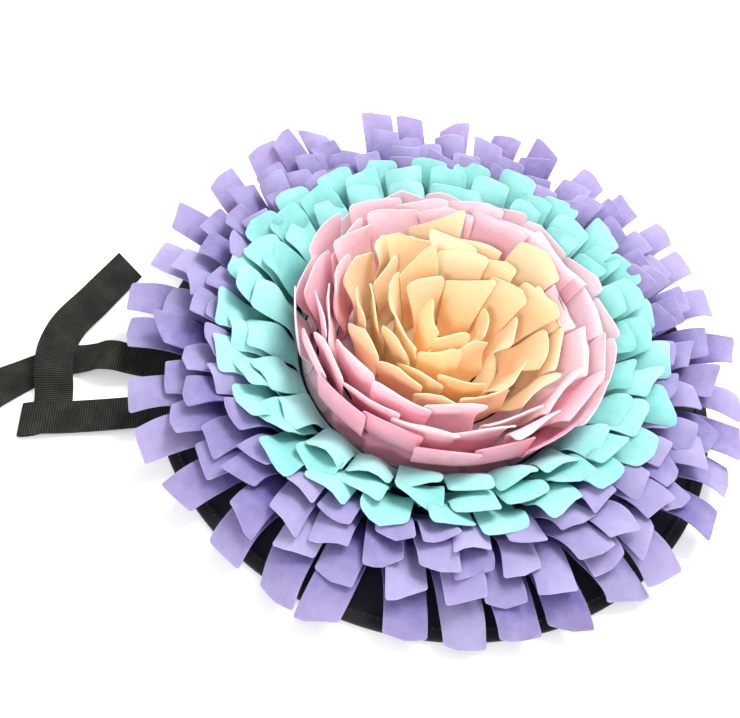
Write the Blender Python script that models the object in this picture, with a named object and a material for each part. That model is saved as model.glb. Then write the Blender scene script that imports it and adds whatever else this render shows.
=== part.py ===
"""Round snuffle mat: a flat base cloth with fringed felt strips sewn on in circles, and two webbing ties.

Metres, +Z up. The origin is the centre of the base's underside. -Y is the front, and the ties leave at -X.
Every fringed strip is a standing backing with its locks cut out of it. The locks are laid one at a time:
each takes its natural bend, and is then lifted until it lies clear of the cloth that is already there.
"""

import math

import bmesh
import bpy
import numpy as np

# ---------------------------------------------------------------- driving dimensions, in millimetres
MM = 0.001
BASE_RADIUS = 207.0
BASE_THICKNESS = 3.0
BASE_SIDES = 96
BINDING_WIDTH = 3.0
BINDING_LAP = 6.0
BINDING_TAPE = 0.9
GAP = 0.3
FELT = 1.8
BACKING_THICKNESS = 2.4
BACKING_HEIGHT = 4.2
BACKING_FOOT = BASE_THICKNESS + GAP
BACKING_TOP = BACKING_FOOT + BACKING_HEIGHT
CENTRE_LEFT_OPEN = 2.0  # the radius of the base that no foot covers
OUTER_TOP = 1  # which corner of a backing's cross-section is the outer one at the top
WEBBING_WIDTH = 25.0
WEBBING_THICKNESS = 1.4
SHARP_ANGLE = 40  # degrees between faces, above which an edge of a round piece stays sharp

# Each fringed strip, outermost first: lengths in millimetres, angles in degrees. flare is by what share a
# lock widens to its tip. root_lean and tip_lean are how steeply it leaves its backing and ends, above the
# horizontal. Locks aren't alike all round: what is added to length at the azimuth "longest_at", and taken
# off opposite it, stands after the length, and the same goes for tip_lean and "steepest_at". The last
# columns are how far locks stray: a whole stack round the vertical, then single locks round the vertical,
# about their own line, in the lean of the tip, sideways at the tip, and in the tip's skew cut.
COLUMNS = (
    "name", "colour", "locks", "radius", "width", "flare", "longest_at", "length", "length_more",
    "root_lean", "steepest_at", "tip_lean", "tip_lean_more",
    "stack_turn", "turn", "roll", "sway", "swing", "skew",
)
TABLE = (
    ("lavender_row_1", "lavender", 35, 161.0, 25.0, 0.00, 110, 71.5, 9.5, 40, 110, 4, 36, 9, 6, 10, 9, 8, 11),
    ("lavender_row_2", "lavender", 35, 152.0, 24.4, 0.00, 110, 62.5, 10, 52, 110, 17, 23, 9, 6, 11, 9, 7, 11),
    ("lavender_row_3", "lavender", 35, 143.0, 23.0, 0.00, 110, 61, 9, 62, 110, 25, 16, 8, 6, 11, 9, 7, 10),
    ("lavender_row_4", "lavender", 35, 134.0, 21.4, 0.04, 110, 58, 9, 70, 110, 30, 14, 8, 6, 10, 9, 6, 10),
    ("aqua_row_1", "aqua", 25, 124.5, 28.0, 0.06, 110, 60, 10, 68, 110, 8, 16, 7, 8, 14, 14, 6, 9),
    ("aqua_row_2", "aqua", 25, 116.8, 27.0, 0.08, 110, 58, 10, 78, 110, 8, 14, 7, 8, 14, 14, 6, 9),
    ("aqua_row_3", "aqua", 25, 106.6, 24.4, 0.12, 110, 54, 9, 78, 110, 6, 12, 7, 5, 10, 12, 5, 8),
    ("pink_row_1", "pink", 18, 103.2, 33.8, 0.08, 140, 56, 7, 84, 215, 70, 18, 0, 2, 2, 4, 1, 5),
    ("pink_row_2", "pink", 16, 90.0, 33.4, 0.15, 110, 66, 6, 82, 210, 46, 38, 0, 4, 9, 20, 4, 10),
    ("pink_row_3", "pink", 14, 77.0, 32.6, 0.15, 110, 65, 7, 82, 210, 44, 38, 0, 5, 10, 20, 4, 11),
    ("cream_row_1", "cream", 13, 62.0, 28.2, 0.20, 110, 62, 8, 82, 210, 46, 38, 0, 6, 10, 20, 4, 12),
    ("cream_row_2", "cream", 11, 47.5, 25.4, 0.20, 110, 62, 8, 84, 210, 50, 36, 0, 7, 10, 20, 4, 12),
    ("cream_row_3", "cream", 8, 32.0, 23.0, 0.20, 110, 61, 8, 86, 240, 62, 28, 0, 7, 10, 16, 4, 11),
    ("cream_row_4", "cream", 5, 16.5, 18.4, 0.20, 110, 56, 7, 88, 250, 78, 26, 0, 10, 10, 8, 3, 9),
)
ROWS = [dict(zip(COLUMNS, row)) for row in TABLE]
STANDING = ("pink", "cream")  # the colours whose strips stand up, as the walls and petals of the cup
HALF_PITCH = ("lavender_row_1", "lavender_row_2", "aqua_row_1")  # these lie under the gaps between others

# The ties, from the sewn end to the free end, in millimetres and degrees: the middle of the webbing, the
# direction from its right edge to its left, and how far its left edge is raised. tie_long lies flat, folds
# under itself at its far end, and comes back out beneath. tie_short arches up and passes below it.
TIES = {
    "tie_long": (
        (-150.0, -100.0, 4.1, 111, 0), (-159.0, -103.4, 4.3, 111, 0), (-166.0, -106.1, 5.6, 111, 0),
        (-188.0, -114.4, 5.6, 111, 0), (-206.0, -121.3, 4.2, 111, 0), (-230.0, -130.3, 2.8, 111, 0),
        (-260.4, -141.9, 2.65, 111, 0), (-261.1, -142.1, 2.37, 111, 0), (-261.3, -142.2, 1.7, 111, 0),
        (-261.1, -142.1, 1.03, 111, 0), (-260.4, -141.9, 0.75, 111, 0), (-257.0, -140.6, 0.75, 111, 0),
        (-252.4, -137.7, 0.75, 134, 0), (-249.2, -133.2, 0.75, 156, 0), (-248.0, -127.9, 0.75, 178, 0),
        (-248.9, -122.5, 0.75, 200, 0), (-251.2, -117.0, 1.2, 202, 0), (-257.0, -103.0, 8.5, 202, 14),
        (-263.0, -88.0, 10.5, 195, 26), (-265.0, -72.0, 11.5, 184, 36), (-259.0, -36.0, 11.0, 170, 44),
        (-251.0, 5.0, 10.5, 169, 44),
    ),
    "tie_short": (
        (-168.0, -63.0, 4.05, 110, 0), (-178.0, -66.6, 4.2, 110, 0), (-189.0, -70.6, 5.6, 110, 0),
        (-202.0, -75.3, 6.4, 108, 0), (-212.0, -78.6, 10.5, 106, 0), (-221.0, -81.0, 14.0, 104, 0),
        (-230.0, -82.2, 12.5, 100, 0), (-239.0, -83.2, 6.5, 100, 0), (-248.0, -84.6, 2.2, 104, 0),
        (-259.0, -88.5, 0.9, 120, 0), (-268.0, -96.5, 0.9, 140, 0), (-276.0, -108.0, 2.5, 152, 8),
        (-284.0, -122.0, 5.6, 154, 20), (-291.0, -136.0, 7.5, 155, 30), (-299.0, -152.0, 7.5, 155, 30),
    ),
}

# ---------------------------------------------------------------- how a lock is laid
STEP = 2.0  # along a lock while it is laid
SECTIONS = (0.0, 0.22, 0.46, 0.73, 1.0)  # where the solid has its cross-sections, as shares of the length
ACROSS = np.linspace(0, 1, 25)
ROWS_OF_POINTS = 12  # between one cross-section and the next
STRAY_LENGTH = 0.06
SECTOR_SHARE = 0.5  # of how its sector of the circle widens, what a standing lock takes up
ROOT_SHARE = 0.5  # of what is taken off a standing lock's tip_lean, what is taken off its root_lean too
TIP_CURL = 2.0  # above 1 for a standing lock, which stays straight and then bends near its tip
STEEPEST_RISE = 0.4  # how fast a lock may be lifted along its length
RELAX_ROUNDS = 12
SHARES_OF_STRAY = (1.0, 0.6, 0.25, 0.0)  # tried in turn, until a lock needs no more lift than this
MOST_LIFT = 9.0
CLEARANCE = 1.3
CELL = 0.8
HALF_SIDE = 300.0  # of the grid that lies
TURN_CELLS = 720  # of the grid that stands, round the mat
HEIGHT_CELLS = 150  # of the grid that stands, upwards
SHARED_LIFT = 0.5  # what part of its neighbour's lift a cross-section takes with it
ROOT_HELD = 8.0  # how much of a lock is kept from being lifted by its root
FLATTEST = 0.4  # the sine or cosine below which a lock's thickness isn't stretched any further


class Heap:
    """How far the cloth already laid reaches, over a grid: up, or inwards for the strips that stand."""

    def __init__(self, stands):
        self.stands = stands
        if stands:
            self.level = np.full((TURN_CELLS, HEIGHT_CELLS), -2 * HALF_SIDE)
        else:
            cells = int(2 * HALF_SIDE / CELL)
            self.level = np.full((cells, cells), BASE_THICKNESS)

    def cells(self, points):
        x, y, z = points[..., 0], points[..., 1], points[..., 2]
        if self.stands:
            turn = (np.arctan2(y, x) / (2 * math.pi) * TURN_CELLS).astype(int) % TURN_CELLS
            return turn, np.clip(z / CELL, 1, HEIGHT_CELLS - 2).astype(int), -np.hypot(x, y)
        return ((x + HALF_SIDE) / CELL).astype(int), ((y + HALF_SIDE) / CELL).astype(int), z

    def shortfall(self, points, half):
        """How far each point still has to be lifted to lie clear."""
        i, j, reach = self.cells(points)
        return self.level[i, j] + half + CLEARANCE - reach

    def add(self, points, half):
        i, j, reach = self.cells(points)
        for di in (-1, 0, 1):
            for dj in (-1, 0, 1):
                near = (i + di) % self.level.shape[0]
                np.maximum.at(self.level, (near, j + dj), reach + half)

    def lift(self, points, amount):
        """The points moved away from the heap: up, or towards the middle."""
        amount = np.asarray(amount, float)[..., None]
        if not self.stands:
            return points + amount * np.array([0.0, 0.0, 1.0])
        flat = points * np.array([1.0, 1.0, 0.0])
        radius = np.maximum(np.linalg.norm(flat, axis=-1, keepdims=True), 1e-6)
        return points - amount * flat / radius

    def half_thickness(self, lean):
        """Half a lock's thickness, measured the way that the heap rises."""
        slope = np.abs(np.sin(lean) if self.stands else np.cos(lean))
        return FELT / 2 / np.maximum(slope, FLATTEST)


def along(path):
    """How far along the path each of its points is."""
    steps = np.linalg.norm(np.diff(path, axis=0), axis=1)
    return np.concatenate([[0.0], np.cumsum(steps)])


def natural_bend(row, azimuth, draw):
    """The middle line that a lock would take alone, and its lean at each point."""
    longer = row["length_more"] * math.cos(azimuth - math.radians(row["longest_at"]))
    steeper = row["tip_lean_more"] * math.cos(azimuth - math.radians(row["steepest_at"]))
    length = (row["length"] + longer) * (1 + STRAY_LENGTH * draw[0])
    tip_lean = row["tip_lean"] + steeper + row["sway"] * draw[1]
    share = np.linspace(0, 1, int(length / STEP) + 2)
    bent = share ** (TIP_CURL if row["colour"] in STANDING else 1.0)
    root_lean = row["root_lean"] + (ROOT_SHARE * min(steeper, 0.0) if row["colour"] in STANDING else 0.0)
    lean = np.radians(root_lean + (tip_lean - root_lean) * bent)
    step = length * (share[1] - share[0])
    middle_lean = (lean[1:] + lean[:-1]) / 2
    out = np.concatenate([[0.0], np.cumsum(np.cos(middle_lean) * step)])
    up = np.concatenate([[0.0], np.cumsum(np.sin(middle_lean) * step)])
    heading = azimuth + math.radians(row["turn"] * draw[2] + row["stack_turn"] * draw[5])
    root = np.array([row["radius"] * math.cos(azimuth), row["radius"] * math.sin(azimuth), BACKING_TOP])
    forward = np.array([math.cos(heading), math.sin(heading), 0.0])
    side = np.array([-math.sin(heading), math.cos(heading), 0.0])
    path = root + out[:, None] * forward + up[:, None] * np.array([0.0, 0.0, 1.0])
    path += row["swing"] * draw[6] * share[:, None] ** 2 * side
    return path, lean, length, side


def half_width(row, middle, share):
    """Half a lock's width along it. A standing lock that leans out widens with its sector of the circle."""
    sector = np.hypot(middle[:, 0], middle[:, 1]) / row["radius"]
    opened = 1 + SECTOR_SHARE * np.maximum(sector - 1.0, 0.0) if row["colour"] in STANDING else 1.0
    return row["width"] / 2 * (1 + row["flare"] * share) * opened


def facets(sections):
    """Points spread over the flat pieces between the sections."""
    first, second = sections[:-1, None, None], sections[1:, None, None]
    u = (np.arange(1, ROWS_OF_POINTS + 1) / ROWS_OF_POINTS)[None, :, None, None]
    v = ACROSS[None, None, :, None]
    left = first[:, :, :, 0] * (1 - u) + second[:, :, :, 0] * u
    right = first[:, :, :, 1] * (1 - u) + second[:, :, :, 1] * u
    return left * (1 - v) + right * v


def lay_lock(heap, row, azimuth, draw):
    """The left and right ends of the lock's cross-sections, root to tip, and how far it had to be lifted."""
    path, lean, length, side = natural_bend(row, azimuth, draw)
    half = half_width(row, path, np.linspace(0, 1, len(path)))
    spread = path[:, None] + (2 * ACROSS[None, :, None] - 1) * half[:, None, None] * side
    need = heap.shortfall(spread, heap.half_thickness(lean)[:, None]).max(axis=1)
    distance = along(path)
    tent = need[None, :] - STEEPEST_RISE * np.abs(distance[:, None] - distance[None, :])
    lifted = np.maximum(tent.max(axis=1), 0.0) * np.clip(distance / ROOT_HELD, 0, 1)
    path = heap.lift(path, lifted)
    distance = along(path)
    stops = np.array(SECTIONS) * length
    centre = np.stack([np.interp(stops, distance, path[:, k]) for k in range(3)], axis=1)
    line = np.gradient(centre, axis=0)
    line /= np.linalg.norm(line, axis=1, keepdims=True)
    upright = np.cross(line, side)
    roll = np.radians(row["roll"] * draw[3]) * np.array(SECTIONS)
    across = np.cos(roll)[:, None] * side + np.sin(roll)[:, None] * upright
    across *= half_width(row, centre, np.array(SECTIONS))[:, None]
    sections = np.stack([centre - across, centre + across], axis=1)
    skew = row["skew"] * draw[4] / 2
    sections[-1, 0] += skew * line[-1]
    sections[-1, 1] -= skew * line[-1]
    half_angle = math.asin(row["width"] / 2 / row["radius"])
    for end, turn in ((0, -half_angle), (1, half_angle)):
        edge = row["radius"] * np.array([math.cos(azimuth + turn), math.sin(azimuth + turn)])
        sections[0, end] = (*edge, BACKING_TOP)
    rise = np.arctan2(line[:, 2], np.linalg.norm(line[:, :2], axis=1))
    half = heap.half_thickness((rise[1:] + rise[:-1]) / 2)[:, None, None]
    pushed = lifted.max()
    for _ in range(RELAX_ROUNDS):
        worst = heap.shortfall(facets(sections), half).max(axis=(1, 2))
        if worst.max() <= 0:
            break
        push = np.concatenate([[0.0], np.maximum(worst, 0)])
        push[1:-1] = np.maximum(push[1:-1], SHARED_LIFT * push[2:])
        pushed += push.max()
        sections = heap.lift(sections, np.repeat(push[:, None], 2, axis=1))
    return sections, half, pushed


def lay_row(heaps, row, seed):
    """(azimuth, sections) of each lock of a strip. Every second lock is laid first, then those between."""
    heap = heaps[row["colour"] in STANDING]
    pitch = 2 * math.pi / row["locks"]
    draws = np.random.default_rng(seed).uniform(-1, 1, (row["locks"], 7))
    if row["stack_turn"]:
        draws[:, 5] = np.random.default_rng(row["locks"]).uniform(-1, 1, row["locks"])
    order = list(range(0, row["locks"], 2)) + list(range(1, row["locks"], 2))
    laid = {}
    for i in order:
        azimuth = (i + 0.5 * (row["name"] in HALF_PITCH)) * pitch
        tries = []
        for share in SHARES_OF_STRAY:
            tries.append(lay_lock(heap, row, azimuth, draws[i] * share))
            if tries[-1][2] <= MOST_LIFT:
                break
        sections, half, _ = min(tries, key=lambda laid_lock: laid_lock[2])
        heap.add(facets(sections), half)
        if row["colour"] not in STANDING:
            heaps[True].add(facets(sections), FELT)
        laid[i] = (azimuth, sections)
    return [laid[i] for i in sorted(laid)]


# ---------------------------------------------------------------- solids
def foot_edge(row):
    """The radius that a standing strip reaches in to with its foot, where it still clears the next strip."""
    inside = [other["radius"] for other in ROWS if other["radius"] < row["radius"]]
    clear = max(inside, default=CENTRE_LEFT_OPEN) + BACKING_THICKNESS / 2 + 2 * GAP
    return clear * row["radius"] / math.sqrt(row["radius"] ** 2 - (row["width"] / 2) ** 2)


def ring_corners(row, angle):
    """The backing's cross-section: an upright band, to which a standing strip adds a flat foot inwards."""
    outer = row["radius"] + BACKING_THICKNESS / 2
    inner = row["radius"] - BACKING_THICKNESS / 2
    corners = [(outer, BACKING_FOOT), (outer, BACKING_TOP), (inner, BACKING_TOP)]
    if row["colour"] in STANDING:
        edge = foot_edge(row)
        corners += [(inner, BACKING_FOOT + FELT), (edge, BACKING_FOOT + FELT), (edge, BACKING_FOOT)]
    else:
        corners += [(inner, BACKING_FOOT)]
    return [(radius * math.cos(angle), radius * math.sin(angle), z) for radius, z in corners]


def lock_loops(sections):
    """The four corners of each cross-section past the root: left and right, under and over."""
    middle = sections.mean(axis=1)
    line = np.gradient(middle, axis=0)
    line /= np.linalg.norm(line, axis=1, keepdims=True)
    loops = []
    for k in range(1, len(sections)):
        left, right = sections[k]
        over = np.cross(line[k], (right - left) / np.linalg.norm(right - left))
        over *= FELT / 2 / np.linalg.norm(over)
        loops.append((left - over, right - over, right + over, left + over))
    return loops


def fringe_mesh(row, laid):
    """One closed mesh: the backing as a ring of straight pieces, with a lock growing from every second."""
    mesh = bmesh.new()
    half_angle = math.asin(row["width"] / 2 / row["radius"])
    stations = []
    for azimuth, sections in laid:
        for angle in (azimuth - half_angle, azimuth + half_angle):
            stations.append([mesh.verts.new(corner) for corner in ring_corners(row, angle)])
    for i, here in enumerate(stations):
        after = stations[(i + 1) % len(stations)]
        for a in range(len(here)):
            b = (a + 1) % len(here)
            if a != OUTER_TOP or i % 2:
                mesh.faces.new((here[b], here[a], after[a], after[b]))
        if i % 2:
            continue
        # outer edge of the ring is the lock's underside, because the lock bends outwards
        ring = (here[OUTER_TOP], after[OUTER_TOP], after[OUTER_TOP + 1], here[OUTER_TOP + 1])
        for corners in lock_loops(laid[i // 2][1]):
            loop = [mesh.verts.new(c) for c in corners]
            for k in range(4):
                mesh.faces.new((ring[k], ring[(k + 1) % 4], loop[(k + 1) % 4], loop[k]))
            ring = loop
        mesh.faces.new(ring)
    return mesh


def ribbon_mesh(stations, steps):
    """Webbing swept through its stations, with so many straight pieces between one and the next."""
    stations = np.array(stations, float)
    marks = np.arange(len(stations))
    t = np.linspace(0, marks[-1], marks[-1] * steps + 1)
    x, y, z, across, raised = (np.interp(t, marks, column) for column in stations.T)
    middle = np.stack([x, y, z], axis=1)
    across, raised = np.radians(across), np.radians(raised)
    level = np.cos(raised)
    left = np.stack([np.cos(across) * level, np.sin(across) * level, np.sin(raised)], axis=1)
    line = np.gradient(middle, axis=0)
    over = np.cross(line, left)
    over /= np.linalg.norm(over, axis=1, keepdims=True)
    left, over = left * WEBBING_WIDTH / 2, over * WEBBING_THICKNESS / 2
    mesh = bmesh.new()
    loops = []
    for corner in (middle - left - over, middle + left - over, middle + left + over, middle - left + over):
        loops.append([mesh.verts.new(c) for c in corner])
    for k in range(4):
        here, after = loops[k], loops[(k + 1) % 4]
        for i in range(len(t) - 1):
            mesh.faces.new((here[i], after[i], after[i + 1], here[i + 1]))
    mesh.faces.new([loop[0] for loop in loops])
    mesh.faces.new([loop[-1] for loop in loops])
    return mesh


def turned_mesh(profile, sides):
    """A ring turned from a closed outline of (radius, height) points."""
    mesh = bmesh.new()
    loops = []
    for i in range(sides):
        angle = 2 * math.pi * i / sides
        loops.append([mesh.verts.new((r * math.cos(angle), r * math.sin(angle), z)) for r, z in profile])
    for i, here in enumerate(loops):
        after = loops[(i + 1) % sides]
        for k in range(len(profile)):
            n = (k + 1) % len(profile)
            mesh.faces.new((here[k], after[k], after[n], here[n]))
    return mesh


def disc_mesh(radius, thickness, sides):
    mesh = bmesh.new()
    circle = bmesh.ops.create_circle(mesh, cap_ends=True, radius=radius, segments=sides)
    faces = list({f for v in circle["verts"] for f in v.link_faces})
    raised = bmesh.ops.extrude_face_region(mesh, geom=faces)
    bmesh.ops.translate(mesh, verts=[g for g in raised["geom"] if isinstance(g, bmesh.types.BMVert)],
                        vec=(0, 0, thickness))
    return mesh


def make_object(name, mesh, material, smooth=False):
    """Links the mesh, given in millimetres, as an object in metres. Round pieces are shaded smooth."""
    bmesh.ops.recalc_face_normals(mesh, faces=mesh.faces)
    if mesh.calc_volume(signed=True) < 0:
        bmesh.ops.reverse_faces(mesh, faces=mesh.faces)
    bmesh.ops.scale(mesh, verts=mesh.verts, vec=(MM, MM, MM))
    data = bpy.data.meshes.new(name)
    mesh.to_mesh(data)
    mesh.free()
    obj = bpy.data.objects.new(name, data)
    bpy.context.scene.collection.objects.link(obj)
    data.materials.append(material)
    if smooth:
        data.shade_smooth()
        data.set_sharp_from_angle(angle=math.radians(SHARP_ANGLE))
    return obj


def make_material(name, colour, roughness):
    material = bpy.data.materials.new(name)
    material.use_nodes = True
    shader = material.node_tree.nodes["Principled BSDF"]
    shader.inputs["Base Color"].default_value = (*colour, 1)
    shader.inputs["Roughness"].default_value = roughness
    shader.inputs["Metallic"].default_value = 0.0
    return material


def main():
    for obj in list(bpy.data.objects):
        bpy.data.objects.remove(obj)
    felt = {
        "lavender": make_material("lavender_felt", (0.50, 0.41, 0.78), 0.9),
        "aqua": make_material("aqua_felt", (0.40, 0.90, 0.80), 0.9),
        "pink": make_material("pink_felt", (0.95, 0.55, 0.63), 0.9),
        "cream": make_material("cream_felt", (0.98, 0.75, 0.42), 0.9),
    }
    black = make_material("black_cloth", (0.015, 0.012, 0.02), 0.6)
    make_object("base_cloth", disc_mesh(BASE_RADIUS, BASE_THICKNESS, BASE_SIDES), black, smooth=True)
    inner, outer = BASE_RADIUS + GAP, BASE_RADIUS + GAP + BINDING_WIDTH
    lap, top = BASE_RADIUS - BINDING_LAP, BASE_THICKNESS + GAP
    tape_top = top + BINDING_TAPE
    binding = [(inner, 0), (outer, 0), (outer, tape_top), (lap, tape_top), (lap, top), (inner, top)]
    make_object("edge_binding", turned_mesh(binding, BASE_SIDES), black, smooth=True)
    olive = make_material("olive_webbing", (0.09, 0.11, 0.08), 0.7)
    for name, stations in TIES.items():
        make_object(name, ribbon_mesh(stations, 1), olive)
    heaps = {stands: Heap(stands) for stands in (False, True)}
    for seed, row in enumerate(ROWS):
        laid = lay_row(heaps, row, seed)
        make_object(row["name"], fringe_mesh(row, laid), felt[row["colour"]])


main()
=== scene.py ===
# %% [markdown]
# # A round snuffle mat
#
# A snuffle mat is a cloth with rings of fringed felt sewn on. Dry food is scattered into the fringe, and a
# pet noses it out again. This one is a dark round cloth of 42 cm that carries fourteen fringed strips in
# circles: four lavender, three aqua, three pink that stand up as a cup, and four cream in the middle.
#
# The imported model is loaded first, as a fixed frame. Each solid in it is then dressed with a finer piece of
# the same shape in the same place. All sizes below are in millimetres, and become metres at the very end.

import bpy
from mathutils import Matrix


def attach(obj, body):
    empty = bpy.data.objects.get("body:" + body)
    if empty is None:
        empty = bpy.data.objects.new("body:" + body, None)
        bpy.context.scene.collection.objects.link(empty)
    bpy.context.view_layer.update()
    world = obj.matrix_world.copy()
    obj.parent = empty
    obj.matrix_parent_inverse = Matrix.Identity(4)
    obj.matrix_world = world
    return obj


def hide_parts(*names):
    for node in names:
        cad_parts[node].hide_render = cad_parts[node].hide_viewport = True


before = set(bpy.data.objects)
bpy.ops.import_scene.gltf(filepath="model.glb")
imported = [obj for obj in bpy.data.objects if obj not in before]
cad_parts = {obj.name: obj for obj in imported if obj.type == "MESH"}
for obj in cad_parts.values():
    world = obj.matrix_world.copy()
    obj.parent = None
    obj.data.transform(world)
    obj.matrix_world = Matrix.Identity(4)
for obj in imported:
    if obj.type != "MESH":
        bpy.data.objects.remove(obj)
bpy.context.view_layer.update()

import math

import bpy
import numpy as np
from mathutils import Matrix, Vector

MM = 0.001
print("solids to dress:", ", ".join(sorted(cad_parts)))

# %% [markdown]
# ## How each strip is cut
#
# A strip of felt is cut nearly through, again and again, so that it becomes a row of locks on an uncut
# backing. The backing stands on edge and is sewn down in a circle. The table says how each strip is cut and
# how its locks lean. The places of 300 locks could be listed one by one, but a few sizes for each row are
# easier to read and to change, and the layout below works out the rest.

# %% The strips, outermost first
BASE_RADIUS = 207.0
BASE_THICKNESS = 3.0
GAP = 0.3  # between one piece and the next
FELT = 1.8  # the thickness that the solids give the felt
BACKING_FOOT = BASE_THICKNESS + GAP
BACKING_TOP = BACKING_FOOT + 4.2
CENTRE_LEFT_OPEN = 2.0  # the radius of the base that no strip covers

# Lengths in millimetres, angles in degrees. flare is by what share a lock widens to its tip. root_lean and
# tip_lean are how steeply it leaves its backing and ends. What is added to length at "longest_at", and taken
# off opposite it, stands after the length, and the same goes for tip_lean and "steepest_at". The last
# columns are how far the locks stray from all that.
COLUMNS = (
    "name", "colour", "locks", "radius", "width", "flare", "longest_at", "length", "length_more",
    "root_lean", "steepest_at", "tip_lean", "tip_lean_more",
    "stack_turn", "turn", "roll", "sway", "swing", "skew",
)
TABLE = (
    ("lavender_row_1", "lavender", 35, 161.0, 25.0, 0.00, 110, 71.5, 9.5, 40, 110, 4, 36, 9, 6, 10, 9, 8, 11),
    ("lavender_row_2", "lavender", 35, 152.0, 24.4, 0.00, 110, 62.5, 10, 52, 110, 17, 23, 9, 6, 11, 9, 7, 11),
    ("lavender_row_3", "lavender", 35, 143.0, 23.0, 0.00, 110, 61, 9, 62, 110, 25, 16, 8, 6, 11, 9, 7, 10),
    ("lavender_row_4", "lavender", 35, 134.0, 21.4, 0.04, 110, 58, 9, 70, 110, 30, 14, 8, 6, 10, 9, 6, 10),
    ("aqua_row_1", "aqua", 25, 124.5, 28.0, 0.06, 110, 60, 10, 68, 110, 8, 16, 7, 8, 14, 14, 6, 9),
    ("aqua_row_2", "aqua", 25, 116.8, 27.0, 0.08, 110, 58, 10, 78, 110, 8, 14, 7, 8, 14, 14, 6, 9),
    ("aqua_row_3", "aqua", 25, 106.6, 24.4, 0.12, 110, 54, 9, 78, 110, 6, 12, 7, 5, 10, 12, 5, 8),
    ("pink_row_1", "pink", 18, 103.2, 33.8, 0.08, 140, 56, 7, 84, 215, 70, 18, 0, 2, 2, 4, 1, 5),
    ("pink_row_2", "pink", 16, 90.0, 33.4, 0.15, 110, 66, 6, 82, 210, 46, 38, 0, 4, 9, 20, 4, 10),
    ("pink_row_3", "pink", 14, 77.0, 32.6, 0.15, 110, 65, 7, 82, 210, 44, 38, 0, 5, 10, 20, 4, 11),
    ("cream_row_1", "cream", 13, 62.0, 28.2, 0.20, 110, 62, 8, 82, 210, 46, 38, 0, 6, 10, 20, 4, 12),
    ("cream_row_2", "cream", 11, 47.5, 25.4, 0.20, 110, 62, 8, 84, 210, 50, 36, 0, 7, 10, 20, 4, 12),
    ("cream_row_3", "cream", 8, 32.0, 23.0, 0.20, 110, 61, 8, 86, 240, 62, 28, 0, 7, 10, 16, 4, 11),
    ("cream_row_4", "cream", 5, 16.5, 18.4, 0.20, 110, 56, 7, 88, 250, 78, 26, 0, 10, 10, 8, 3, 9),
)
ROWS = [dict(zip(COLUMNS, row)) for row in TABLE]
STANDING = ("pink", "cream")  # the colours whose strips stand up, as the walls and petals of the cup
HALF_PITCH = ("lavender_row_1", "lavender_row_2", "aqua_row_1")  # these lie under the gaps between others
print(len(ROWS), "strips with", sum(row["locks"] for row in ROWS), "locks")

# %% [markdown]
# ## How the locks come to lie
#
# Felt locks can't pass through each other: a lock rests on those that were laid before it. A cloth
# simulation of 300 touching locks would take many minutes, so they are laid one at a time instead. A grid
# remembers how high the cloth already reaches. Each lock takes the bend it would have alone, and is then
# lifted until it is clear of the grid. For the strips that stand up as a cup, the same is done sideways:
# the grid runs round the mat, and a lock is pushed towards the middle.

# %% The heap of cloth laid so far
CLEARANCE = 1.3  # between a lock and what it rests on
CELL = 0.8
HALF_SIDE = 300.0  # of the grid that lies
TURN_CELLS = 720  # of the grid that stands, round the mat
HEIGHT_CELLS = 150  # of the grid that stands, upwards
FLATTEST = 0.4  # the sine or cosine below which a lock's thickness isn't stretched any further


class Heap:
    """How far the cloth already laid reaches, over a grid: up, or inwards for the strips that stand."""

    def __init__(self, stands):
        self.stands = stands
        if stands:
            self.level = np.full((TURN_CELLS, HEIGHT_CELLS), -2 * HALF_SIDE)
        else:
            cells = int(2 * HALF_SIDE / CELL)
            self.level = np.full((cells, cells), BASE_THICKNESS)

    def cells(self, points):
        x, y, z = points[..., 0], points[..., 1], points[..., 2]
        if self.stands:
            turn = (np.arctan2(y, x) / (2 * math.pi) * TURN_CELLS).astype(int) % TURN_CELLS
            return turn, np.clip(z / CELL, 1, HEIGHT_CELLS - 2).astype(int), -np.hypot(x, y)
        return ((x + HALF_SIDE) / CELL).astype(int), ((y + HALF_SIDE) / CELL).astype(int), z

    def shortfall(self, points, half):
        """How far each point still has to be lifted to lie clear."""
        i, j, reach = self.cells(points)
        return self.level[i, j] + half + CLEARANCE - reach

    def add(self, points, half):
        i, j, reach = self.cells(points)
        for di in (-1, 0, 1):
            for dj in (-1, 0, 1):
                near = (i + di) % self.level.shape[0]
                np.maximum.at(self.level, (near, j + dj), reach + half)

    def lift(self, points, amount):
        """The points moved away from the heap: up, or towards the middle."""
        amount = np.asarray(amount, float)[..., None]
        if not self.stands:
            return points + amount * np.array([0.0, 0.0, 1.0])
        flat = points * np.array([1.0, 1.0, 0.0])
        radius = np.maximum(np.linalg.norm(flat, axis=-1, keepdims=True), 1e-6)
        return points - amount * flat / radius

    def half_thickness(self, lean):
        """Half a lock's thickness, measured the way that the heap rises."""
        slope = np.abs(np.sin(lean) if self.stands else np.cos(lean))
        return FELT / 2 / np.maximum(slope, FLATTEST)


# %% [markdown]
# ## The bend of a single lock
#
# A cut lock leaves its backing steeply and droops along its length. The lean of one that lies changes evenly
# from root to tip, which is the curve of a strip of stiff cloth under its own weight. One that stands keeps
# straight for longer, and bends over near its tip. At the right and the back of the cup the petals open wide,
# so there a standing lock also leaves its backing less steeply. Such a curve could be sculpted lock by lock,
# but one rule for the lean keeps all of them to the stiffness of the same felt.

# %% The bend of a lock
STEP = 2.0  # along a lock while it is laid
STRAY_LENGTH = 0.06  # the share of its length by which a lock may be longer or shorter
SECTOR_SHARE = 0.5  # of how its sector of the circle widens, what a standing lock takes up
ROOT_SHARE = 0.5  # of what is taken off a standing lock's tip_lean, the part that its root_lean loses too
TIP_CURL = 2.0  # 1 bends a lock evenly, and more keeps a standing lock straight until near its tip


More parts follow.
